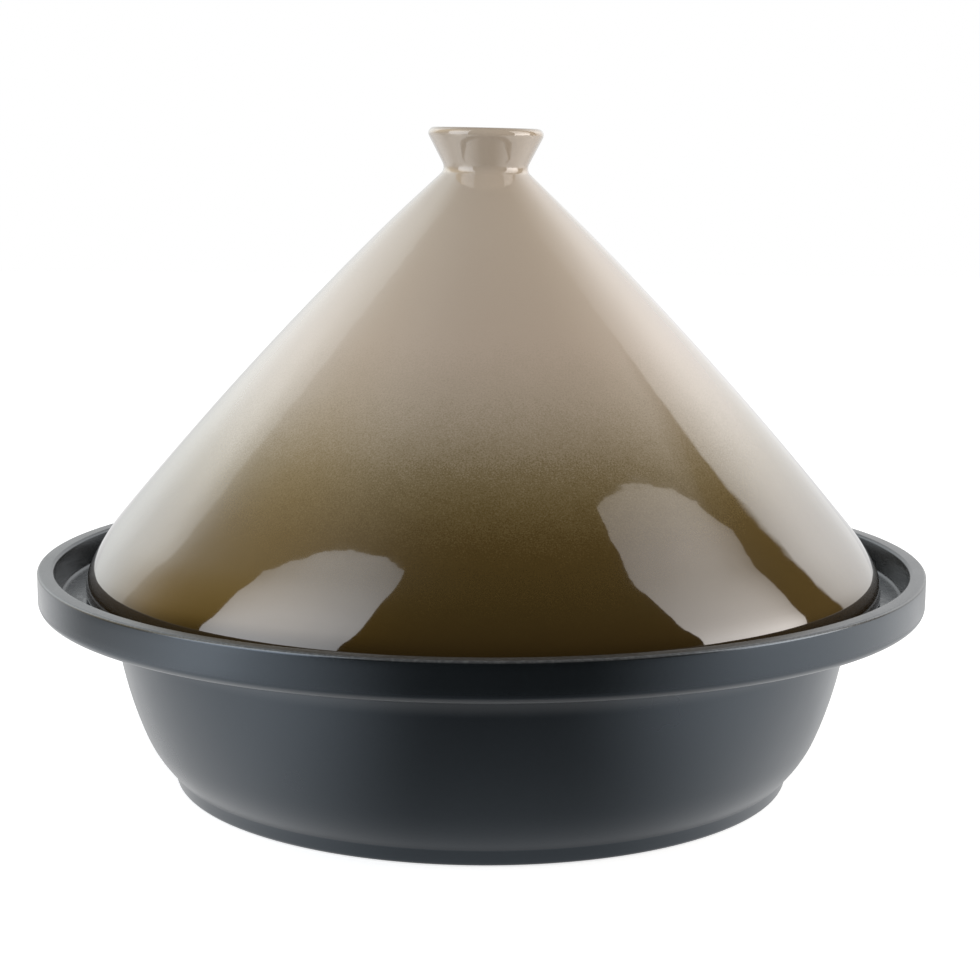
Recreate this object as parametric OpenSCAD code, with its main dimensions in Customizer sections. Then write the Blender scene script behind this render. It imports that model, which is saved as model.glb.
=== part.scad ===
// Tagine: a cast dish with a wide flanged rim, and a glazed conical lid that stands on the ledge
// inside the rim. Sizes in millimetres, angles in degrees. The dish stands on z = 0.

/* [Rim] */
// Diameter across the outside of the rim
rim_d = 320; // [290:1:350]
// Width of the rim across its top
rim_w = 5.7; // [4.5:0.1:7]
// Height of the rim above the ledge
rim_rise = 10.7; // [8:0.1:16]
// Lean of the rim's inner side from upright
rim_draft = 11; // [2:1:15]
// Rounding of the rim's outer top edge
rim_outer_r = 1; // [0.5:0.1:1.5]
// Rounding of the rim's inner top edge
rim_inner_r = 1.3; // [0.8:0.1:1.8]
// Rounding of the rim's lower edge
rim_under_r = 3; // [1.5:0.1:4]

/* [Ledge] */
// Height of the ledge above the table
ledge_h = 69; // [60:0.5:85]
// Thickness of the flange that carries the ledge
flange_t = 2.8; // [2.4:0.1:4.5]
// Width of the flange, from the outside of the bowl to the outside of the rim
flange_w = 26.2; // [22.5:0.1:31]
// Fillet between the ledge and the rim
ledge_fillet_r = 1.7; // [1:0.1:2.5]
// Fillet under the flange, where it meets the bowl
under_fillet_r = 3; // [1:0.5:6]

/* [Bowl] */
// Lean of the bowl's side from upright, right under the flange
bowl_lean = 3.5; // [1:0.5:8]
// Radius of the gentle bulge down the bowl's side
side_r = 144.6; // [110:0.2:260]
// Thickness of the bowl's side
bowl_wall = 3.5; // [2.5:0.1:5]
// Thickness of the bowl's floor
floor_t = 5; // [3.5:0.5:8]
// Outer rounding between the bowl's side and its foot
corner_r = 43.5; // [36:0.5:50]
// Inner rounding between the bowl's side and its floor
inner_corner_r = 30; // [26:1:42]
// Rounding of the ledge's inner edge, at the mouth of the bowl
mouth_r = 1.2; // [0.6:0.1:2]

/* [Foot] */
// Height of the foot's band
foot_h = 5.4; // [4:0.1:9]
// Lean of the foot's band from upright
foot_draft = 15; // [5:1:20]
// Lean of the bowl's side from upright where it meets the foot
foot_lean = 45.5; // [40:0.5:52]
// Rounding of the foot's lower edge
foot_edge_r = 2; // [1:0.1:2.6]
// Fillet between the foot and the bowl
foot_fillet_r = 1.5; // [0.5:0.1:3]

/* [Lid] */
// Gap all round between the lid and the rim's inner side, where the two stand on the ledge
lid_gap = 8.4; // [4:0.1:13]
// Height of the lid from the ledge to the top of its knob
lid_h = 166.1; // [145:0.1:190]
// Thickness of the lid's wall
lid_wall = 7; // [5:0.5:9]
// Height above the ledge at which the shoulder starts
skirt_h = 2.6; // [2.6:0.1:8]
// Rounding of the lid's outer lower edge
lid_edge_r = 2.3; // [1:0.1:2.5]
// Rounding of the lid's inner lower edge
lid_inner_edge_r = 1.5; // [0.8:0.1:2.2]
// Rounding of the shoulder above the lower edge
shoulder_r = 20.5; // [14:0.5:34]
// Lean of the lid's side from upright where the shoulder passes into the hip
hip_lean = 29.5; // [22:0.5:33]
// Rounding of the hip between the shoulder and the cone
hip_r = 95; // [50:5:160]
// Radius of the gentle bulge along the cone's side
cone_bulge_r = 1350; // [700:10:3000]
// Rounding of the crown inside the top of the cone
crown_r = 12; // [8:0.5:16]

/* [Knob] */
// Diameter across the knob's lip
knob_d = 41.1; // [37:0.1:50]
// Diameter of the neck under the knob
neck_d = 30.2; // [26:0.1:33]
// Height of the knob's top above the narrowest part of the neck
knob_h = 14; // [11:0.1:20]
// Fillet round the neck
neck_fillet_r = 3.1; // [1.5:0.1:5]
// Rounding of the knob's lip
lip_r = 2.2; // [1:0.1:3]
// Depth of the dish in the top of the knob
dish_depth = 3; // [1:0.1:5]

/* [Hidden] */

// Largest distance between a curve and its chords
curve_gap = 0.02;
// Shortest edge that an outline may have
shortest_edge = 0.001;
// Segments round each turned piece
turn_segments = 180;

dish_colour = "#2b2d31";
glaze_colour = "#85765a";

rim_r = rim_d / 2;
bowl_r = rim_r - flange_w;
knob_r = knob_d / 2;
neck_r = neck_d / 2;
rim_top_h = ledge_h + rim_rise;
flange_under_h = ledge_h - flange_t;
lid_top_h = ledge_h + lid_h;
neck_z = lid_top_h - knob_h;

// The rim's inner side, as the radius at a height
function rim_inner(z) = rim_r - rim_w - (rim_top_h - z) * tan(rim_draft);

// The lid's radius, set by the room inside the rim
lid_r = rim_inner(ledge_h) - lid_gap;

// A unit vector at an angle
function dir(a) = [cos(a), sin(a)];

// The angle of the line from one point to another
function angle_to(from, to) = atan2(to[1] - from[1], to[0] - from[0]);

// Points along an arc from one angle to another, both ends included
function arc(centre, r, start, end) =
    let (step = 2 * acos(1 - curve_gap / r),
         n = max(2, ceil(abs(end - start) / step)))
    [for (i = [0 : n]) centre + r * dir(start + (end - start) * i / n)];

// Where two circles cross, on the left of the line from the first centre to the second
function crossing(c1, r1, c2, r2) =
    let (d = norm(c2 - c1),
         along = (d * d + r1 * r1 - r2 * r2) / (2 * d),
         unit = (c2 - c1) / d)
    c1 + along * unit + sqrt(r1 * r1 - along * along) * [-unit[1], unit[0]];

// The radius from a centre at a given height to a circle about that centre
function reach(centre, r, z) = centre[0] + sqrt(r * r - (z - centre[1]) * (z - centre[1]));

// An outline without repeated points
function spaced(points) =
    [for (i = [0 : len(points) - 1])
        if (i == 0 || norm(points[i] - points[i - 1]) > shortest_edge) points[i]];

// A closed section turned about the z axis
module turned(outline) {
    rotate_extrude($fn = turn_segments) polygon(spaced(outline));
}

// The bowl's side: one arc through the flange's underside, and its inner wall about one centre
side_c = [bowl_r, flange_under_h] - side_r * dir(-bowl_lean);
inner_side_r = side_r - bowl_wall;

// The bowl's outer rounding: it touches the side above and the foot's fillet below
foot_fillet_z = foot_h - foot_fillet_r * sin(foot_draft);
corner_z = foot_fillet_z + (foot_fillet_r + corner_r) * sin(foot_lean);
corner_c = [reach(side_c, side_r - corner_r, corner_z), corner_z];
foot_fillet_c = corner_c + (foot_fillet_r + corner_r) * dir(-foot_lean);

// The foot's band under its fillet, as the radius at a height, and the rounding at its lower edge
function foot_band(z) = foot_fillet_c[0] - foot_fillet_r / cos(foot_draft)
    - (foot_fillet_z - z) * tan(foot_draft);
foot_edge_c = [foot_band(foot_edge_r) - foot_edge_r / cos(foot_draft), foot_edge_r];

// Centres of the roundings that touch the bowl's side, outside and inside
under_fillet_z = flange_under_h - under_fillet_r;
under_fillet_c = [reach(side_c, side_r + under_fillet_r, under_fillet_z), under_fillet_z];
mouth_z = ledge_h - mouth_r;
mouth_c = [reach(side_c, inner_side_r + mouth_r, mouth_z), mouth_z];
inner_corner_z = floor_t + inner_corner_r;
inner_corner_c = [reach(side_c, inner_side_r - inner_corner_r, inner_corner_z), inner_corner_z];

// Centres of the roundings at the rim
rim_under_c = [rim_r - rim_under_r, flange_under_h + rim_under_r];
rim_outer_c = [rim_r - rim_outer_r, rim_top_h - rim_outer_r];
rim_inner_z = rim_top_h - rim_inner_r;
rim_inner_c = [rim_inner(rim_inner_z) + rim_inner_r / cos(rim_draft), rim_inner_z];
ledge_fillet_z = ledge_h + ledge_fillet_r;
ledge_fillet_c = [rim_inner(ledge_fillet_z) - ledge_fillet_r / cos(rim_draft), ledge_fillet_z];

// Dish: one casting, turned from foot to rim and down the inside
module base() {
    color(dish_colour) turned(concat(
        [[0, 0]],
        arc(foot_edge_c, foot_edge_r, -90, -foot_draft),
        arc(foot_fillet_c, foot_fillet_r, 180 - foot_draft, 180 - foot_lean),
        arc(corner_c, corner_r, -foot_lean, angle_to(side_c, corner_c)),
        arc(side_c, side_r, angle_to(side_c, corner_c), angle_to(side_c, under_fillet_c)),
        arc(under_fillet_c, under_fillet_r, 180 + angle_to(side_c, under_fillet_c), 90),
        arc(rim_under_c, rim_under_r, -90, 0),
        arc(rim_outer_c, rim_outer_r, 0, 90),
        arc(rim_inner_c, rim_inner_r, 90, 180 - rim_draft),
        arc(ledge_fillet_c, ledge_fillet_r, -rim_draft, -90),
        arc(mouth_c, mouth_r, 90, 180 + angle_to(side_c, mouth_c)),
        arc(side_c, inner_side_r, angle_to(side_c, mouth_c), angle_to(side_c, inner_corner_c)),
        arc(inner_corner_c, inner_corner_r, angle_to(side_c, inner_corner_c), -90),
        [[0, floor_t]]));
}

// Centres of the lid's lower edges, shoulder, neck and lip
lid_edge_c = [lid_r - lid_edge_r, ledge_h + lid_edge_r];
lid_inner_edge_c = [lid_r - lid_wall + lid_inner_edge_r, ledge_h + lid_inner_edge_r];
shoulder_c = [lid_r - shoulder_r, ledge_h + skirt_h];
neck_c = [neck_r + neck_fillet_r, neck_z];
lip_c = [knob_r - lip_r, lid_top_h - lip_r];

// The hip: a fuller arc that carries on from the shoulder
hip_c = shoulder_c - (hip_r - shoulder_r) * dir(hip_lean);

// The cone's side: one bulged arc, tangent to the hip below and to the neck's fillet above
cone_c = crossing(hip_c, cone_bulge_r - hip_r, neck_c, cone_bulge_r + neck_fillet_r);
hip_end = angle_to(cone_c, hip_c);
cone_end = angle_to(cone_c, neck_c);

// The knob's flare: the straight line that touches the neck's fillet and the lip
flare = angle_to(neck_c, lip_c) - asin((neck_fillet_r + lip_r) / norm(lip_c - neck_c));

// The dish in the knob's top: one arc, tangent to the lip
dish_drop = dish_depth - lip_r;
dish_r = (lip_c[0] * lip_c[0] + dish_drop * dish_drop - lip_r * lip_r) / (2 * dish_depth);
dish_c = [0, lid_top_h - dish_depth + dish_r];

// The crown inside: one arc on the axis, tangent to the inside of the cone
inner_cone_r = cone_bulge_r - lid_wall;
crown_lift = sqrt(pow(inner_cone_r - crown_r, 2) - cone_c[0] * cone_c[0]);
crown_c = [0, cone_c[1] + crown_lift];

// Lid: one hollow cone with a solid flared knob, standing on the ledge
module lid() {
    color(glaze_colour) turned(concat(
        arc(lid_inner_edge_c, lid_inner_edge_r, 180, 270),
        arc(lid_edge_c, lid_edge_r, -90, 0),
        arc(shoulder_c, shoulder_r, 0, hip_lean),
        arc(hip_c, hip_r, hip_lean, hip_end),
        arc(cone_c, cone_bulge_r, hip_end, cone_end),
        arc(neck_c, neck_fillet_r, 180 + cone_end, 90 + flare),
        arc(lip_c, lip_r, flare - 90, 90),
        arc(lip_c, lip_r, 90, angle_to(lip_c, dish_c)),
        arc(dish_c, dish_r, angle_to(dish_c, lip_c), -90),
        arc(crown_c, crown_r, 90, angle_to(cone_c, crown_c)),
        arc(cone_c, inner_cone_r, angle_to(cone_c, crown_c), hip_end),
        arc(hip_c, hip_r - lid_wall, hip_end, hip_lean),
        arc(shoulder_c, shoulder_r - lid_wall, hip_lean, 0)));
}

base();
lid();
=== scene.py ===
import math

import bmesh
import bpy
import numpy as np
from mathutils import Matrix, Vector


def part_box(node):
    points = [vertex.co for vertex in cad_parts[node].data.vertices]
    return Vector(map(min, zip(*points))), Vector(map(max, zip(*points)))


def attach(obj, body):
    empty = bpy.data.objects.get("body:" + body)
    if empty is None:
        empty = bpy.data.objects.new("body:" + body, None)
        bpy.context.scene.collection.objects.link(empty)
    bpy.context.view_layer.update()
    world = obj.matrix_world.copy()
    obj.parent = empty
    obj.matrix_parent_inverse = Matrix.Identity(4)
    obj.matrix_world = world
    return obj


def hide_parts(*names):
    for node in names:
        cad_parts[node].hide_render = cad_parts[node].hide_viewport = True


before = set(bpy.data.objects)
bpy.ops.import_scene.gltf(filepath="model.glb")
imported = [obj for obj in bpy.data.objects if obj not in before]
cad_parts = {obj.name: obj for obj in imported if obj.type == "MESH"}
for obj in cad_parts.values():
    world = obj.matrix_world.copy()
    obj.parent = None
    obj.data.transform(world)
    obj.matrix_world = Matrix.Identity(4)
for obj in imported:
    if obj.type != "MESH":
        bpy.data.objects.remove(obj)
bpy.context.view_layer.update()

# Dish
# One aluminium casting with a flat foot, a curved bowl, a wide flange and a rim that stands up
# round the ledge. Its underside is faced on a lathe, and then it is coated all over in a dark
# satin release coating, sprayed and baked on. Sizes are in millimetres and angles in degrees.
MM = 0.001
dish_low, dish_high = (Vector(corner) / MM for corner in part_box("base"))
lid_low, lid_high = (Vector(corner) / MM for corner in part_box("lid"))

rim_r = (dish_high.x - dish_low.x) / 2
rim_top = dish_high.z
ledge = lid_low.z
rim_w = 5.7
rim_draft = 11
rim_outer_round = 1.0
rim_inner_round = 1.3
rim_under_round = 3.0
flange_t = 2.8
flange_w = 26.2
ledge_fillet = 1.7
under_fillet = 3.0
side_lean = 3.5
side_bulge = 144.6
dish_wall = 3.5
floor_t = 5.0
corner_round = 43.5
inner_corner_round = 30.0
mouth_round = 1.2
foot_h = 5.4
foot_draft = 15
foot_lean = 45.5
foot_edge_round = 2.0
foot_fillet = 1.5

# How far apart the points of a section may lie, along it and round an arc, and the least gap
point_gap = 2.4
arc_step = 9
least_gap = 0.01
steps_round = 360


def direction(angle):
    """A unit vector at an angle in degrees, in the half-section."""
    return np.array([math.cos(math.radians(angle)), math.sin(math.radians(angle))])


def slope_to(start, end):
    """The angle in degrees of the line from one point to another."""
    return math.degrees(math.atan2(end[1] - start[1], end[0] - start[0]))


def reach(centre, radius, height):
    """How far from the axis a circle of the half-section is at a height."""
    return centre[0] + math.sqrt(radius**2 - (height - centre[1]) ** 2)


def arc(centre, radius, start, end):
    """Points round an arc of the half-section, both ends included."""
    sweep = abs(end - start)
    count = math.ceil(max(sweep / arc_step, math.radians(sweep) * radius / point_gap, 2))
    return [
        np.array(centre) + radius * direction(start + (end - start) * i / count)
        for i in range(count + 1)
    ]


def half_section(name, arcs):
    """A wire of edges through the arcs' points, with straight runs divided evenly."""
    ends = [point for points in arcs for point in points]
    wire = [ends[0]]
    for end in ends[1:]:
        start = wire[-1]
        length = np.linalg.norm(end - start)
        if length > least_gap:
            steps = math.ceil(length / point_gap)
            wire += [start + (end - start) * i / steps for i in range(1, steps + 1)]
    mesh = bpy.data.meshes.new(name)
    vertices = [(max(x, 0) * MM, 0, z * MM) for x, z in wire]
    mesh.from_pydata(vertices, [(i, i + 1) for i in range(len(wire) - 1)], [])
    piece = bpy.data.objects.new(name, mesh)
    bpy.context.scene.collection.objects.link(piece)
    return piece


def node(tree, kind, inputs=None, **settings):
    """A new node in a tree. An input that is another node's output is linked."""
    new = tree.nodes.new(kind)
    for key, value in settings.items():
        setattr(new, key, value)
    for key, value in (inputs or {}).items():
        if isinstance(value, bpy.types.NodeSocket):
            tree.links.new(value, new.inputs[key])
        else:
            new.inputs[key].default_value = value
    return new


def math_node(tree, operation, *values):
    """The output of a Math node."""
    return node(tree, "ShaderNodeMath", dict(enumerate(values)), operation=operation).outputs[0]


def vector_node(tree, operation, *values):
    """The output of a Vector Math node, which is a number for a dot product or a length."""
    made = node(tree, "ShaderNodeVectorMath", dict(enumerate(values)), operation=operation)
    return made.outputs["Value" if operation in ("DOT_PRODUCT", "LENGTH") else "Vector"]


def scaled(tree, vector, factor):
    """A vector or a colour times a number."""
    inputs = {0: vector, "Scale": factor}
    return node(tree, "ShaderNodeVectorMath", inputs, operation="SCALE").outputs[0]


def parts_of(tree, vector):
    """The outputs X, Y and Z of a vector."""
    return node(tree, "ShaderNodeSeparateXYZ", {0: vector}).outputs


def between(tree, value, start, end, low=0.0, high=1.0, soft=False):
    """A number that goes from low to high while value goes from start to end."""
    return node(
        tree,
        "ShaderNodeMapRange",
        {"Value": value, "From Min": start, "From Max": end, "To Min": low, "To Max": high},
        interpolation_type="SMOOTHSTEP" if soft else "LINEAR",
    ).outputs[0]


def moved(tree, skin, offset):
    """A skin whose points are moved by an offset each."""
    inputs = {"Geometry": skin, "Offset": offset}
    return node(tree, "GeometryNodeSetPosition", inputs).outputs[0]


def turning_tree():
    """A tree that turns a half-section once round the upright axis into a closed skin.

    The skin may be uneven, as hand-finished ware is, and its lower and top ends may sit a
    little to one side. The heights at which that starts are inputs too.
    """
    tree = bpy.data.node_groups.new("turned_piece", "GeometryNodeTree")
    for name, kind in (
        ("Half-section", "NodeSocketGeometry"),
        ("Steps round", "NodeSocketInt"),
        ("Unevenness", "NodeSocketFloat"),
        ("Unevenness size", "NodeSocketFloat"),
        ("Seed", "NodeSocketFloat"),
        ("Steady below", "NodeSocketFloat"),
        ("Steady above", "NodeSocketFloat"),
        ("Lower end shift", "NodeSocketVector"),
        ("Top end shift", "NodeSocketVector"),
        ("Top end tilt", "NodeSocketVector"),
        ("Finish", "NodeSocketMaterial"),
        ("Inner finish", "NodeSocketMaterial"),
    ):
        tree.interface.new_socket(name, in_out="INPUT", socket_type=kind)
    tree.interface.new_socket("Skin", in_out="OUTPUT", socket_type="NodeSocketGeometry")
    given = node(tree, "NodeGroupInput").outputs

    # A flat grid has one column of points for each point of the half-section
    counted = node(tree, "GeometryNodeAttributeDomainSize", {"Geometry": given["Half-section"]})
    rows = math_node(tree, "ADD", given["Steps round"], 1)
    grid = node(
        tree,
        "GeometryNodeMeshGrid",
        {"Vertices X": counted.outputs["Point Count"], "Vertices Y": rows},
    )
    index = node(tree, "GeometryNodeInputIndex").outputs[0]
    column = math_node(tree, "FLOOR", math_node(tree, "DIVIDE", index, rows))
    row = math_node(tree, "SUBTRACT", index, math_node(tree, "MULTIPLY", column, rows))
    place = node(tree, "GeometryNodeInputPosition").outputs[0]
    drawn = node(
        tree,
        "GeometryNodeSampleIndex",
        {"Geometry": given["Half-section"], "Index": column},
        data_type="FLOAT_VECTOR",
    )
    tree.links.new(place, drawn.inputs["Value"])
    apart = parts_of(tree, drawn.outputs["Value"])

    # Each row of the grid is turned to its own angle, and the seam and the poles are closed
    turn = math_node(tree, "DIVIDE", row, given["Steps round"])
    angle = math_node(tree, "MULTIPLY", turn, 2 * math.pi)
    round_place = node(
        tree,
        "ShaderNodeCombineXYZ",
        {
            "X": math_node(tree, "MULTIPLY", apart["X"], math_node(tree, "COSINE", angle)),
            "Y": math_node(tree, "MULTIPLY", apart["X"], math_node(tree, "SINE", angle)),
            "Z": apart["Z"],
        },
    )
    turned = node(
        tree,
        "GeometryNodeSetPosition",
        {"Geometry": grid.outputs["Mesh"], "Position": round_place.outputs[0]},
    )
    closed = node(
        tree,
        "GeometryNodeMergeByDistance",
        {"Geometry": turned.outputs[0], "Distance": 0.001 * MM},
    )

    # The unevenness fades out towards the seat and towards the top
    height = parts_of(tree, place)["Z"]
    fade = 25 * MM
    low_end = math_node(tree, "ADD", given["Steady below"], fade)
    low_fade = between(tree, height, given["Steady below"], low_end, soft=True)
    high_end = math_node(tree, "SUBTRACT", given["Steady above"], fade)
    high_fade = between(tree, height, given["Steady above"], high_end, soft=True)
    swell = node(
        tree,
        "ShaderNodeTexNoise",
        {
            "Vector": vector_node(tree, "DIVIDE", place, given["Unevenness size"]),
            "W": given["Seed"],
            "Scale": 1.0,
            "Detail": 1.0,
        },
        noise_dimensions="4D",
    )
    rise = math_node(tree, "SUBTRACT", swell.outputs[0], 0.5)
    rise = math_node(tree, "MULTIPLY", rise, given["Unevenness"])
    rise = math_node(tree, "MULTIPLY", rise, low_fade)
    rise = math_node(tree, "MULTIPLY", rise, high_fade)
    outward = node(tree, "GeometryNodeInputNormal").outputs[0]
    uneven = moved(tree, closed.outputs[0], scaled(tree, outward, rise))

    # The ends sit a little to one side, and the top is a little out of level
    below = math_node(tree, "SUBTRACT", 1.0, low_fade)
    above = math_node(tree, "SUBTRACT", 1.0, high_fade)
    low_shift = scaled(tree, given["Lower end shift"], below)
    top_shift = scaled(tree, given["Top end shift"], above)
    shift = vector_node(tree, "ADD", low_shift, top_shift)
    tilt = vector_node(tree, "DOT_PRODUCT", place, given["Top end tilt"])
    tilt = math_node(tree, "MULTIPLY", tilt, above)
    tilt = node(tree, "ShaderNodeCombineXYZ", {"Z": tilt}).outputs[0]
    leaning = moved(tree, uneven, vector_node(tree, "ADD", shift, tilt))

    # Faces that look towards the axis get the inner finish, up to where the top end starts
    flat_place = vector_node(tree, "MULTIPLY", place, (1, 1, 0))
    facing = vector_node(tree, "DOT_PRODUCT", outward, flat_place)
    inward = node(tree, "FunctionNodeCompare", {0: facing, 1: 0.0}, operation="LESS_THAN")
    under_top = node(
        tree, "FunctionNodeCompare", {0: height, 1: given["Steady above"]}, operation="LESS_THAN"
    )
    inner = node(
        tree,
        "FunctionNodeBooleanMath",
        {0: inward.outputs[0], 1: under_top.outputs[0]},
        operation="AND",
    )
    whole = node(tree, "GeometryNodeRealizeInstances", {"Geometry": leaning})
    finished = node(
        tree,
        "GeometryNodeSetMaterial",
        {"Geometry": whole.outputs[0], "Material": given["Finish"]},
    )
    lined = node(
        tree,
        "GeometryNodeSetMaterial",
        {
            "Geometry": finished.outputs[0],
            "Selection": inner.outputs[0],
            "Material": given["Inner finish"],
        },
    )
    node(tree, "NodeGroupOutput", {"Skin": lined.outputs[0]})
    return tree


def turned_piece(name, arcs, tree, **sizes):
    """A closed turned mesh of a half-section, as a plain object at the origin."""
    wire = half_section(name + "_section", arcs)
    turning = wire.modifiers.new("turning", "NODES")
    turning.node_group = tree
    keys = {item.name: item.identifier for item in tree.interface.items_tree}
    for title, value in sizes.items():
        turning[keys[title.replace("_", " ")]] = value
    seen = wire.evaluated_get(bpy.context.evaluated_depsgraph_get())
    mesh = bpy.data.meshes.new_from_object(seen)
    wire.modifiers.remove(turning)

    # Points that still fall together are merged, and then all faces are made to point outwards
    skin = bmesh.new()
    skin.from_mesh(mesh)
    bmesh.ops.remove_doubles(skin, verts=skin.verts, dist=1e-4 * MM)
    bmesh.ops.dissolve_degenerate(skin, edges=skin.edges, dist=1e-5 * MM)
    bmesh.ops.recalc_face_normals(skin, faces=skin.faces)
    if skin.calc_volume(signed=True) < 0:
        bmesh.ops.reverse_faces(skin, faces=skin.faces)
    for face in skin.faces:
        face.smooth = True
    skin.to_mesh(mesh)
    skin.free()
    mesh.name = name
    piece = bpy.data.objects.new(name, mesh)
    bpy.context.scene.collection.objects.link(piece)
    bpy.data.objects.remove(wire)
    return piece


def finish(name):
    """A new material, its tree and its Principled shader."""
    material = bpy.data.materials.new(name)
    material.use_nodes = True
    tree = material.node_tree
    return material, tree, tree.nodes["Principled BSDF"]


def noise(tree, place, scale, detail, roughness=0.5):
    """The value of a Noise Texture node."""
    inputs = {"Vector": place, "Scale": scale, "Detail": detail, "Roughness": roughness}
    return node(tree, "ShaderNodeTexNoise", inputs).outputs[0]


coating_colour = (0.0045, 0.0058, 0.0062)
# The colour added where the coating is lighter: worn specks and a painted highlight on the rim's
# top, and a painted highlight under the flange
wear_and_highlight_colour = (1.0, 0.97, 0.94)
roughness_spread = 0.03
ring_pitch = 1.2 * MM
ring_depth = 0.3
underside_z = 0.2 * MM


def coating(name, roughness, grain_height):
    """Dark satin release coating over cast metal, with a fine sprayed grain and soft clouds."""
    material, tree, shader = finish(name)
    place = node(tree, "ShaderNodeTexCoord").outputs["Object"]
    height = parts_of(tree, place)["Z"]
    grain = noise(tree, place, 1100.0, 3.0, 0.6)
    cloud = noise(tree, place, 26.0, 3.0)
    tone = between(tree, cloud, 0.3, 0.7, 0.88, 1.12)
    speck = between(tree, grain, 0.35, 0.65, 0.85, 1.15)
    colour = scaled(tree, coating_colour, math_node(tree, "MULTIPLY", tone, speck))

    # It is lighter on the rim's top, where it is worn thin in specks and a painted highlight
    # stands for light from above, and in a stretch under the flange, a painted highlight for the
    # table's light on the rim's lower round and the bowl, which the second band starts and the
    # third one ends
    on_rim, starts, ends = (
        between(tree, height, start * MM, end * MM, high=light, soft=True)
        for start, end, light in (
            (rim_top - 0.9, rim_top - 0.3, 0.045),
            (ledge - 14.5, ledge - 9.5, 0.05),
            (ledge - 1.6, ledge - 0.4, -0.05),
        )
    )
    wear_and_highlight = math_node(tree, "MULTIPLY", on_rim, between(tree, grain, 0.45, 0.65, 0.8, 1.6))
    wear_and_highlight = math_node(tree, "ADD", wear_and_highlight, math_node(tree, "ADD", starts, ends))
    colour = vector_node(tree, "ADD", colour, scaled(tree, wear_and_highlight_colour, wear_and_highlight))
    tree.links.new(colour, shader.inputs["Base Color"])
    smooth, rough = roughness - roughness_spread, roughness + roughness_spread
    tree.links.new(between(tree, cloud, 0.3, 0.7, smooth, rough), shader.inputs["Roughness"])

    # The foot's underside keeps faint rings from the lathe
    radius = vector_node(tree, "LENGTH", vector_node(tree, "MULTIPLY", place, (1, 1, 0)))
    rings = math_node(tree, "SINE", math_node(tree, "MULTIPLY", radius, 2 * math.pi / ring_pitch))
    rings = math_node(tree, "MULTIPLY", rings, math_node(tree, "LESS_THAN", height, underside_z))
    relief = math_node(tree, "MULTIPLY_ADD", rings, ring_depth, grain)
    bump = node(tree, "ShaderNodeBump", {"Height": relief, "Distance": grain_height})
    tree.links.new(bump.outputs[0], shader.inputs["Normal"])
    shader.inputs["IOR"].default_value = 1.5
    shader.inputs["Specular IOR Level"].default_value = 1.0
    shader.inputs["Specular Tint"].default_value = (0.74, 0.86, 1.0, 1)
    return material


bowl_r = rim_r - flange_w
under_flange = ledge - flange_t
rim_slope = math.tan(math.radians(rim_draft))
rim_secant = 1 / math.cos(math.radians(rim_draft))
rim_foot_r = rim_r - rim_w - (rim_top - ledge) * rim_slope


def rim_inner(height):
    """The radius of the rim's leaning inner side at a height."""
    return rim_foot_r + (height - ledge) * rim_slope


side_c = np.array([bowl_r, under_flange]) - side_bulge * direction(-side_lean)
inner_side = side_bulge - dish_wall
foot_fillet_z = foot_h - foot_fillet * math.sin(math.radians(foot_draft))
corner_z = foot_fillet_z + (foot_fillet + corner_round) * math.sin(math.radians(foot_lean))
corner_c = np.array([reach(side_c, side_bulge - corner_round, corner_z), corner_z])
foot_fillet_c = corner_c + (foot_fillet + corner_round) * direction(-foot_lean)
foot_slope = math.tan(math.radians(foot_draft))
foot_secant = 1 / math.cos(math.radians(foot_draft))
foot_edge_r = (
    foot_fillet_c[0]
    - (foot_fillet + foot_edge_round) * foot_secant
    - (foot_fillet_z - foot_edge_round) * foot_slope
)
foot_edge_c = np.array([foot_edge_r, foot_edge_round])
under_z = under_flange - under_fillet
under_c = np.array([reach(side_c, side_bulge + under_fillet, under_z), under_z])
mouth_z = ledge - mouth_round
mouth_c = np.array([reach(side_c, inner_side + mouth_round, mouth_z), mouth_z])
inner_corner_z = floor_t + inner_corner_round
inner_corner_c = np.array(
    [reach(side_c, inner_side - inner_corner_round, inner_corner_z), inner_corner_z]
)
rim_inner_z = rim_top - rim_inner_round
rim_inner_c = np.array([rim_inner(rim_inner_z) + rim_inner_round * rim_secant, rim_inner_z])
fillet_z = ledge + ledge_fillet
fillet_c = np.array([rim_inner(fillet_z) - ledge_fillet * rim_secant, fillet_z])
corner_turn = slope_to(side_c, corner_c)
under_turn = slope_to(side_c, under_c)
mouth_turn = slope_to(side_c, mouth_c)
inner_turn = slope_to(side_c, inner_corner_c)

# From the middle of the underside round the outside, over the rim and in to the floor
dish_arcs = [
    [np.array([0, 0])],
    arc(foot_edge_c, foot_edge_round, -90, -foot_draft),
    arc(foot_fillet_c, foot_fillet, 180 - foot_draft, 180 - foot_lean),
    arc(corner_c, corner_round, -foot_lean, corner_turn),
    arc(side_c, side_bulge, corner_turn, under_turn),
    arc(under_c, under_fillet, 180 + under_turn, 90),
    arc((rim_r - rim_under_round, under_flange + rim_under_round), rim_under_round, -90, 0),
    arc((rim_r - rim_outer_round, rim_top - rim_outer_round), rim_outer_round, 0, 90),
    arc(rim_inner_c, rim_inner_round, 90, 180 - rim_draft),
    arc(fillet_c, ledge_fillet, -rim_draft, -90),
    arc(mouth_c, mouth_round, 90, 180 + mouth_turn),
    arc(side_c, inner_side, mouth_turn, inner_turn),
    arc(inner_corner_c, inner_corner_round, inner_turn, -90),
    [np.array([0, floor_t])],
]

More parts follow.
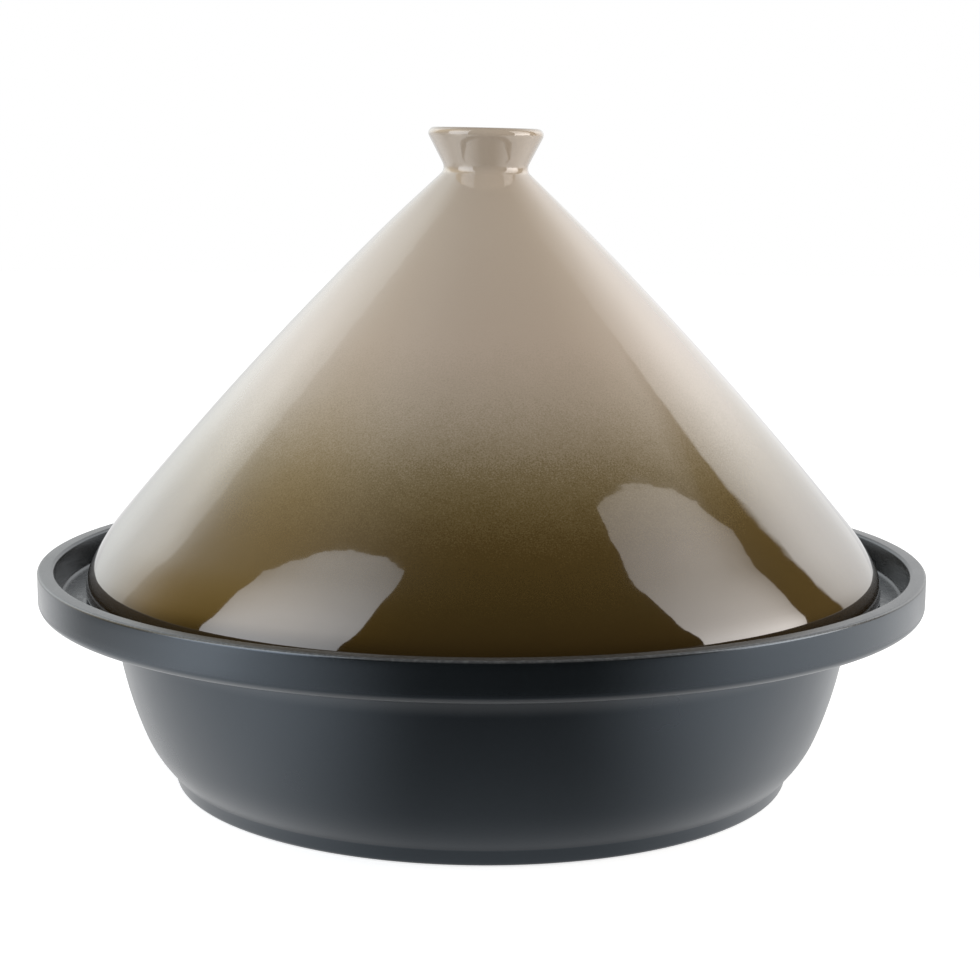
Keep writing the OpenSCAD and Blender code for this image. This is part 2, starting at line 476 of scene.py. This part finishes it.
dish_coating = coating("dish_coating", 0.22, 0.02 * MM)
inner_coating = coating("inner_coating", 0.30, 0.012 * MM)
turning = turning_tree()
dish = turned_piece(
    "dish",
    dish_arcs,
    turning,
    Steps_round=steps_round,
    Unevenness=0.0,
    Unevenness_size=60 * MM,
    Seed=3.0,
    Steady_below=5 * MM,
    Steady_above=(ledge + 1) * MM,
    Lower_end_shift=(0, 0, 0),
    Top_end_shift=(0, 0, 0),
    Top_end_tilt=(0, 0, 0),
    Finish=dish_coating,
    Inner_finish=inner_coating,
)
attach(dish, "root")
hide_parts("base")

# Lid
# One stoneware cone, turned and hand finished, with a flared knob. It is dipped in a taupe glaze,
# and a brown glaze is sprayed over the lower half while it spins, thicker towards the bottom.
# It stands loose on the dish's ledge, on a flat ring.
lid_top = lid_high.z
lid_r = (lid_high.x - lid_low.x) / 2
lid_wall = 7.0
skirt_h = 2.6
lid_edge_round = 2.3
lid_inner_round = 1.5
shoulder_round = 20.5
hip_lean = 29.5
hip_round = 95.0
cone_bulge = 1350.0
crown_round = 12.0
knob_r = 41.1 / 2
neck_r = 30.2 / 2
knob_h = 14.0
neck_fillet = 3.1
lip_round = 2.2
knob_dish = 3.0

lid_edge_c = np.array([lid_r - lid_edge_round, ledge + lid_edge_round])
lid_inner_c = np.array([lid_r - lid_wall + lid_inner_round, ledge + lid_inner_round])
shoulder_c = np.array([lid_r - shoulder_round, ledge + skirt_h])
neck_c = np.array([neck_r + neck_fillet, lid_top - knob_h])
lip_c = np.array([knob_r - lip_round, lid_top - lip_round])


def crossing(centre_a, radius_a, centre_b, radius_b):
    """Where two circles cross, on the left of the line from the first centre to the second."""
    apart = np.linalg.norm(centre_b - centre_a)
    along = (apart**2 + radius_a**2 - radius_b**2) / (2 * apart)
    ahead = (centre_b - centre_a) / apart
    left = np.array([-ahead[1], ahead[0]])
    return centre_a + along * ahead + math.sqrt(radius_a**2 - along**2) * left


hip_c = shoulder_c - (hip_round - shoulder_round) * direction(hip_lean)
cone_c = crossing(hip_c, cone_bulge - hip_round, neck_c, cone_bulge + neck_fillet)
hip_turn = slope_to(cone_c, hip_c)
cone_turn = slope_to(cone_c, neck_c)
lip_span = np.linalg.norm(lip_c - neck_c)
flare = slope_to(neck_c, lip_c) - math.degrees(math.asin((neck_fillet + lip_round) / lip_span))
dish_drop = knob_dish - lip_round
knob_dish_r = (lip_c[0] ** 2 + dish_drop**2 - lip_round**2) / (2 * knob_dish)
knob_dish_c = np.array([0, lid_top - knob_dish + knob_dish_r])
inner_cone = cone_bulge - lid_wall
crown_c = np.array(
    [0, cone_c[1] + math.sqrt((inner_cone - crown_round) ** 2 - cone_c[0] ** 2)]
)
crown_turn = slope_to(cone_c, crown_c)

# From the middle of the knob's top down the outside, round the seat and up to the crown
lid_arcs = [
    arc(knob_dish_c, knob_dish_r, -90, slope_to(knob_dish_c, lip_c)),
    arc(lip_c, lip_round, slope_to(lip_c, knob_dish_c), flare - 90),
    arc(neck_c, neck_fillet, 90 + flare, 180 + cone_turn),
    arc(cone_c, cone_bulge, cone_turn, hip_turn),
    arc(hip_c, hip_round, hip_turn, hip_lean),
    arc(shoulder_c, shoulder_round, hip_lean, 0),
    arc(lid_edge_c, lid_edge_round, 0, -90),
    arc(lid_inner_c, lid_inner_round, 270, 180),
    arc(shoulder_c, shoulder_round - lid_wall, 0, hip_lean),
    arc(hip_c, hip_round - lid_wall, hip_lean, hip_turn),
    arc(cone_c, inner_cone, hip_turn, crown_turn),
    arc(crown_c, crown_round, crown_turn, 90),
]

# The glaze's colour at heights in millimetres, from the foot of the cone to the knob
glaze_tones = (
    (74, (0.034, 0.020, 0.006)),
    (92, (0.044, 0.028, 0.008)),
    (106, (0.060, 0.038, 0.011)),
    (116, (0.095, 0.067, 0.026)),
    (125, (0.139, 0.105, 0.053)),
    (134, (0.209, 0.168, 0.110)),
    (146, (0.289, 0.238, 0.177)),
    (162, (0.356, 0.290, 0.226)),
    (200, (0.382, 0.317, 0.248)),
)
wave_height = 0.16 * MM
peel_height = 0.006 * MM


def glaze(name, sprayed):
    """Glossy stoneware glaze. The brown spray over the taupe shows where sprayed is 1."""
    material, tree, shader = finish(name)
    place = node(tree, "ShaderNodeTexCoord").outputs["Object"]

    # The spray's edge wanders a little round the cone, and its drops are fine specks. Each
    # noise lifts or lowers the spray by up to half its reach in millimetres
    level = parts_of(tree, place)["Z"]
    for drift, reach_mm in (
        (noise(tree, place, 7.0, 2.0), 10),
        (noise(tree, place, 2000.0, 2.0, 0.7), 34),
        (noise(tree, place, 160.0, 3.0), 5),
    ):
        drift = math_node(tree, "SUBTRACT", drift, 0.5)
        drift = math_node(tree, "MULTIPLY", drift, reach_mm * MM)
        level = math_node(tree, "ADD", level, drift)
    lowest, highest = glaze_tones[0][0], glaze_tones[-1][0]
    share = between(tree, level, lowest * MM, highest * MM, low=1.0 - sprayed)
    ramp = node(tree, "ShaderNodeValToRGB", {0: share})
    elements = ramp.color_ramp.elements
    elements[0].color = (*glaze_tones[0][1], 1)
    elements[-1].color = (*glaze_tones[-1][1], 1)
    for tone_z, tone in glaze_tones[1:-1]:
        elements.new((tone_z - lowest) / (highest - lowest)).color = (*tone, 1)
    tree.links.new(ramp.outputs[0], shader.inputs["Base Color"])

    # The glaze levels out in soft waves, with a faint orange peel between them
    waves = noise(tree, place, 38.0, 2.0, 0.45)
    peel = noise(tree, place, 260.0, 1.0)
    waves = node(tree, "ShaderNodeBump", {"Height": waves, "Distance": wave_height})
    surface = node(
        tree,
        "ShaderNodeBump",
        {"Height": peel, "Distance": peel_height, "Normal": waves.outputs[0]},
    )
    tree.links.new(surface.outputs[0], shader.inputs["Normal"])
    tree.links.new(surface.outputs[0], shader.inputs["Coat Normal"])
    shader.inputs["Roughness"].default_value = 0.05
    shader.inputs["IOR"].default_value = 1.5
    shader.inputs["Coat Weight"].default_value = 1.0
    shader.inputs["Coat Roughness"].default_value = 0.02
    shader.inputs["Coat IOR"].default_value = 1.5
    return material


lid = turned_piece(
    "lid_cone",
    lid_arcs,
    turning,
    Steps_round=steps_round,
    Unevenness=0.08 * MM,
    Unevenness_size=70 * MM,
    Seed=5.0,
    Steady_below=(ledge + 6) * MM,
    Steady_above=(lid_top - knob_h) * MM,
    Lower_end_shift=(0.6 * MM, 0, 0),
    Top_end_shift=(0.5 * MM, 0, -0.34 * MM),
    Top_end_tilt=(-0.016, 0, 0),
    Finish=glaze("lid_glaze", 1.0),
    Inner_finish=glaze("inner_glaze", 0.0),
)
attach(lid, "root")
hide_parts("lid")

# Table
# A plain pale table top just under the foot, whose front edge is in front of the dish. The camera
# sees it as white with the dish's soft shadow. From below it is clear, so that the underside
# shows. Its sizes and those of all that follows are in metres.
table_front = -0.55
table_back = 3.0
table_side = 3.0
table_z = -0.2 * MM
table_glow = 0.65
white = (1, 1, 1, 1)
table_mesh = bpy.data.meshes.new("table")
table_mesh.from_pydata(
    [
        (-table_side, table_front, table_z),
        (table_side, table_front, table_z),
        (table_side, table_back, table_z),
        (-table_side, table_back, table_z),
    ],
    [],
    [(0, 1, 2, 3)],
)
table = bpy.data.objects.new("table", table_mesh)
bpy.context.scene.collection.objects.link(table)
table_white, tree, shader = finish("table_white")
shader.inputs["Base Color"].default_value = (0.8, 0.8, 0.8, 1)
shader.inputs["Roughness"].default_value = 0.9
shader.inputs["Specular IOR Level"].default_value = 0.0
rays = node(tree, "ShaderNodeLightPath").outputs
glow = node(tree, "ShaderNodeEmission", {"Color": white, "Strength": table_glow})
lit = node(tree, "ShaderNodeAddShader", {0: shader.outputs[0], 1: glow.outputs[0]}).outputs[0]

# Glossy rays see another table, whose light is painted on as a glow: bright out at both sides,
# standing in for the studio's walls and softboxes lighting it, and dark in front
place = node(tree, "ShaderNodeTexCoord").outputs["Object"]
apart = parts_of(tree, place)
from_axis = vector_node(tree, "LENGTH", place)
sideways = math_node(tree, "DIVIDE", apart["X"], from_axis)
far = between(tree, from_axis, 0.24, 0.45)
left_side = between(tree, sideways, -0.15, -0.8, soft=True)
right_side = math_node(tree, "MULTIPLY_ADD", far, -0.08, sideways)
right_side = between(tree, right_side, 0.28, 0.95, soft=True)
right_gain = math_node(tree, "MULTIPLY_ADD", far, 0.25, 1.0)
right_side = math_node(tree, "MULTIPLY", right_side, right_gain)
mirrored = math_node(tree, "ADD", left_side, right_side)

# Close to the foot the sides have painted shade, and two painted glows fade with the distance
# from the axis
near = math_node(tree, "EXPONENT", math_node(tree, "MULTIPLY_ADD", from_axis, -25.0, 2.75))
dimmed = math_node(tree, "MULTIPLY_ADD", near, -0.6, 1.0)
mirrored = math_node(tree, "MULTIPLY", mirrored, dimmed)
for start, fade, brightness in ((0.18, 0.2, 0.185), (0.11, 0.02, 0.3)):
    steps = math_node(tree, "DIVIDE", math_node(tree, "SUBTRACT", start, from_axis), fade)
    share = math_node(tree, "MULTIPLY", math_node(tree, "EXPONENT", steps), brightness)
    mirrored = math_node(tree, "ADD", mirrored, share)

# The half behind the dish is bright throughout
far_side = math_node(tree, "MULTIPLY", math_node(tree, "GREATER_THAN", apart["Y"], 0.0), 0.75)
mirrored = math_node(tree, "MAXIMUM", mirrored, far_side)

# Farther off on the left a painted pool of light lies in front of the softbox, with painted shade
# behind it
onto = vector_node(tree, "NORMALIZE", place)
for centre, tightness, brightness in (
    ((-0.86, -0.51, 0.0), -60.0, 0.8),
    ((-0.99, 0.10, 0.0), -35.0, -0.75),
):
    off = math_node(tree, "SUBTRACT", 1.0, vector_node(tree, "DOT_PRODUCT", onto, centre))
    share = math_node(tree, "EXPONENT", math_node(tree, "MULTIPLY", off, tightness))
    share = math_node(tree, "MULTIPLY", math_node(tree, "MULTIPLY", share, far), brightness)
    mirrored = math_node(tree, "ADD", mirrored, share)
table_gain = 1.07
table_most = 2.0
mirrored = math_node(tree, "MULTIPLY", mirrored, table_gain)
mirrored = math_node(tree, "MINIMUM", mirrored, table_most)
mirrored = node(tree, "ShaderNodeEmission", {"Color": white, "Strength": mirrored}).outputs[0]


def mixed_shader(tree, share, first, second):
    """The first shader where the share is 0, and the second where it is 1."""
    return node(tree, "ShaderNodeMixShader", {0: share, 1: first, 2: second}).outputs[0]


def seen_directly(tree, rays):
    """1 for rays that the camera sends out, and for those that go on through glass."""
    return math_node(tree, "MAXIMUM", rays["Is Camera Ray"], rays["Is Transmission Ray"])


seen = math_node(tree, "MAXIMUM", seen_directly(tree, rays), rays["Is Glossy Ray"])
shown = mixed_shader(tree, rays["Is Glossy Ray"], lit, mirrored)
shown = mixed_shader(tree, seen, shader.outputs[0], shown)
from_under = node(tree, "ShaderNodeNewGeometry").outputs["Backfacing"]
from_under = math_node(tree, "MULTIPLY", from_under, rays["Is Camera Ray"])
clear = node(tree, "ShaderNodeBsdfTransparent").outputs[0]
shown = mixed_shader(tree, from_under, shown, clear)
tree.links.new(shown, tree.nodes["Material Output"].inputs["Surface"])
table_mesh.materials.append(table_white)

# Studio
# The camera sees plain white all round. Glossy rays see the studio: a white wall at each side
# towards the back, a soft ceiling, and dim brown areas at the sides in front of the walls. All
# other rays see an even soft light.
soft_light = 0.52
world = bpy.context.scene.world or bpy.data.worlds.new("studio")
bpy.context.scene.world = world
world.use_nodes = True
tree = world.node_tree
toward = node(tree, "ShaderNodeTexCoord").outputs["Generated"]
apart = parts_of(tree, toward)
flat = vector_node(tree, "LENGTH", vector_node(tree, "MULTIPLY", toward, (1, 1, 0)))
behind = math_node(tree, "DIVIDE", apart["Y"], flat)


def sum_of_areas(areas):
    """The light of soft round areas of the studio.

    Each has an azimuth from the front and a height, both in degrees, a tightness and a colour.
    """
    total = (0.0, 0.0, 0.0)
    for azimuth, rise, tightness, colour in areas:
        turn, lift = math.radians(azimuth), math.radians(rise)
        centre = (
            math.sin(turn) * math.cos(lift),
            -math.cos(turn) * math.cos(lift),
            math.sin(lift),
        )
        off = math_node(tree, "SUBTRACT", vector_node(tree, "DOT_PRODUCT", toward, centre), 1.0)
        share = math_node(tree, "EXPONENT", math_node(tree, "MULTIPLY", off, tightness))
        total = vector_node(tree, "ADD", total, scaled(tree, colour, share))
    return total


left_wall = sum_of_areas(
    (
        (-141.0, 14.8, 10.5, (1.28, 1.31, 1.29)),
        (-129.8, 27.9, 46.0, (0.72, 0.74, 0.74)),
        (-127.4, 47.1, 33.0, (0.76, 0.82, 0.83)),
        (-85.4, 62.1, 24.0, (0.40, 0.42, 0.42)),
    )
)
right_wall = sum_of_areas(
    (
        (161.2, 4.6, 4.7, (0.91, 0.91, 0.91)),
        (125.7, 27.1, 13.0, (1.55, 1.55, 1.55)),
    )
)
brown_room = sum_of_areas(
    (
        (-109.8, 19.4, 17.2, (0.50, 0.29, 0.02)),
        (-73.4, 39.8, 13.6, (0.60, 0.34, 0.02)),
        (-98.0, 41.0, 25.0, (0.42, 0.32, 0.17)),
        (106.1, 18.0, 7.0, (0.28, 0.18, 0.06)),
        (107.0, 50.0, 40.0, (0.25, 0.23, 0.19)),
    )
)

# The right wall has a sharp front edge, a little bent, up to where it meets the soft ceiling
bent = 0.0
for start, end, shift in ((0.36, 0.46, -0.03), (0.47, 0.57, 0.06)):
    bent = math_node(tree, "ADD", bent, between(tree, apart["Z"], start, end, high=shift))
hard_edge = between(tree, math_node(tree, "ADD", behind, bent), 0.495, 0.515)
ceiling = between(tree, apart["Z"], 0.66, 0.74, high=0.65)
kept = math_node(tree, "MAXIMUM", hard_edge, ceiling)
kept = math_node(tree, "MAXIMUM", kept, math_node(tree, "LESS_THAN", apart["X"], 0.0))
right_wall = scaled(tree, right_wall, kept)

# The left wall has the same edge, with less contrast
left_edge = between(tree, behind, 0.505, 0.525)
left_fall = between(tree, behind, 0.515, 0.75, 0.33, 0.1)
left_wall = scaled(tree, left_wall, math_node(tree, "MULTIPLY_ADD", left_edge, left_fall, 0.9))
reflected = vector_node(tree, "ADD", left_wall, right_wall)
reflected = vector_node(tree, "ADD", reflected, brown_room)


def mixed_colour(tree, share, first, second):
    """The first colour where the share is 0, and the second where it is 1."""
    inputs = {0: share, 6: first, 7: second}
    return node(tree, "ShaderNodeMix", inputs, data_type="RGBA").outputs[2]


rays = node(tree, "ShaderNodeLightPath").outputs
light = (soft_light, soft_light, soft_light, 1)
light = mixed_colour(tree, rays["Is Glossy Ray"], light, reflected)
light = mixed_colour(tree, seen_directly(tree, rays), light, white)
tree.links.new(light, tree.nodes["Background"].inputs["Color"])

# Softboxes
# Two softboxes stand at the sides of the dish, lean over it a little and give the window-like
# reflections low on the cone. Each is brightest round its middle, where its flash tube is.
share_heights = (0.25, 0.47, 0.56, 0.68)
tube_fall = 1.2


def softbox(
    name,
    azimuth,
    distance,
    height,
    facing,
    lean,
    turn,
    width,
    tall,
    strength,
    shares,
    tube,
    colour,
):
    """A softbox whose middle is at an azimuth from the front, a distance and a height.

    It faces the dish as if it stood at the azimuth facing, leans over it and is turned in its
    own plane. Its shares are what it gives of its strength at its lower edge, at the share
    heights and at its upper edge, and its tube is across it, from 0 at its left to 1.
    """
    lamp = bpy.data.lights.new(name, "AREA")
    lamp.shape = "RECTANGLE"
    lamp.size = width
    lamp.size_y = tall
    lamp.energy = strength * math.pi * width * tall
    lamp.color = colour
    lamp.use_nodes = True
    tree = lamp.node_tree
    across = parts_of(tree, node(tree, "ShaderNodeNewGeometry").outputs["Parametric"])
    ramp = node(tree, "ShaderNodeValToRGB", {0: across["Y"]})
    elements = ramp.color_ramp.elements
    elements[0].color = (shares[0], shares[0], shares[0], 1)
    elements[-1].color = (shares[-1], shares[-1], shares[-1], 1)
    for rise, share in zip(share_heights, shares[1:-1]):
        elements.new(rise).color = (share, share, share, 1)
    off = math_node(tree, "SUBTRACT", across["X"], tube)
    drop = math_node(tree, "MULTIPLY", math_node(tree, "MULTIPLY", off, off), tube_fall)
    fall = math_node(tree, "MULTIPLY", ramp.outputs[0], math_node(tree, "SUBTRACT", 1.0, drop))
    tree.links.new(fall, tree.nodes["Emission"].inputs["Strength"])
    stand = bpy.data.objects.new(name, lamp)
    bpy.context.scene.collection.objects.link(stand)

    # The lamp shines along its own -Z. Its own Y is up, and it leans by turning about its X
    place = Matrix.Rotation(math.radians(azimuth), 4, "Z") @ Vector((0, -distance, height))
    pose = (
        Matrix.Rotation(math.radians(facing), 4, "Z")
        @ Matrix.Rotation(math.radians(90 - lean), 4, "X")
        @ Matrix.Rotation(math.radians(turn), 4, "Z")
    )
    stand.matrix_world = Matrix.Translation(place) @ pose
    stand.visible_camera = False


softbox(
    "left_softbox",
    azimuth=-64.0,
    distance=0.781,
    height=0.538,
    facing=-26.7,
    lean=9.9,
    turn=-2.6,
    width=0.768,
    tall=0.986,
    strength=3.5,
    shares=(0.8, 0.87, 1.0, 0.97, 0.80, 0.42),
    tube=0.5,
    colour=(0.96, 1.0, 1.06),
)
softbox(
    "right_softbox",
    azimuth=86.6,
    distance=1.058,
    height=0.592,
    facing=37.0,
    lean=16.8,
    turn=4.4,
    width=1.056,
    tall=1.096,
    strength=4.5,
    shares=(1.27, 1.21, 0.87, 0.74, 0.60, 0.31),
    tube=0.38,
    colour=(1, 0.955, 0.92),
)

# Camera
# It stands in front of the dish, level with the lid's knob, and looks slightly down.
# Its lens follows from the focal length in pixels of the photo's frame.
camera_place = Vector((0.00274, -0.760, 0.22902))
camera_pitch = 9.3203
camera_roll = 0.3901
photo_width = 980
focal_pixels = 2107.0
camera = bpy.data.cameras.new("camera")
camera.sensor_width = 36
camera.lens = focal_pixels / photo_width * camera.sensor_width
camera.clip_start = 0.01
viewer = bpy.data.objects.new("camera", camera)
bpy.context.scene.collection.objects.link(viewer)
aim = Matrix.Rotation(math.radians(90 - camera_pitch), 4, "X")
roll = Matrix.Rotation(math.radians(camera_roll), 4, "Z")
viewer.matrix_world = Matrix.Translation(camera_place) @ aim @ roll
bpy.context.scene.camera = viewer
bpy.context.scene.view_settings.view_transform = "Standard"
